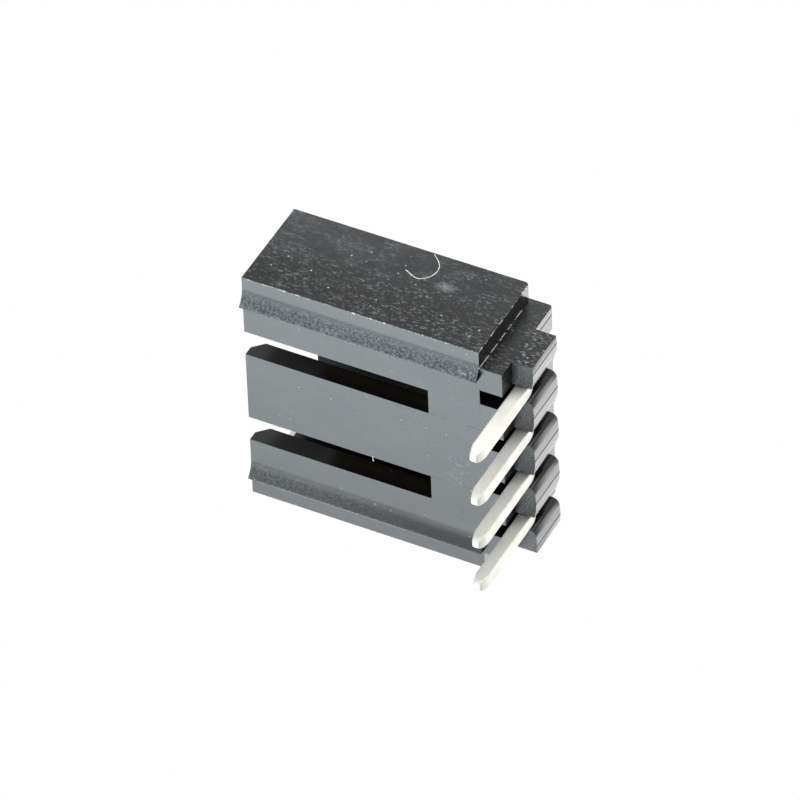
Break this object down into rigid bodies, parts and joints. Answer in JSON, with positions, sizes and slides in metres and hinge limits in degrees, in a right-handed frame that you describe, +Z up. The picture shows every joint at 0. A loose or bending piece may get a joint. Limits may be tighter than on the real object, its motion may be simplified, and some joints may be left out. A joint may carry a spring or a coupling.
{
  "type": "shrouded pin header",
  "caption": "Right-angle shrouded pin header with a keyed black moulded housing, a rear comb and tinned square solder tails.",
  "frame": {"origin": "middle of the solder-tail row on the surface of the board", "axes": "+X along the row of posts, -Y out of the mouth, +Z up from the board"},
  "size_m": [0.0128, 0.0136, 0.0087],
  "materials": {
    "housing": "black moulded plastic with a satin, finely grained skin",
    "pin": "bright tin plate over a copper-alloy post"
  },
  "bodies": {
    "root": {"housing": "housing", "pin_1": "pin", "pin_2": "pin", "pin_3": "pin", "pin_4": "pin"}
  },
  "joints": []
}
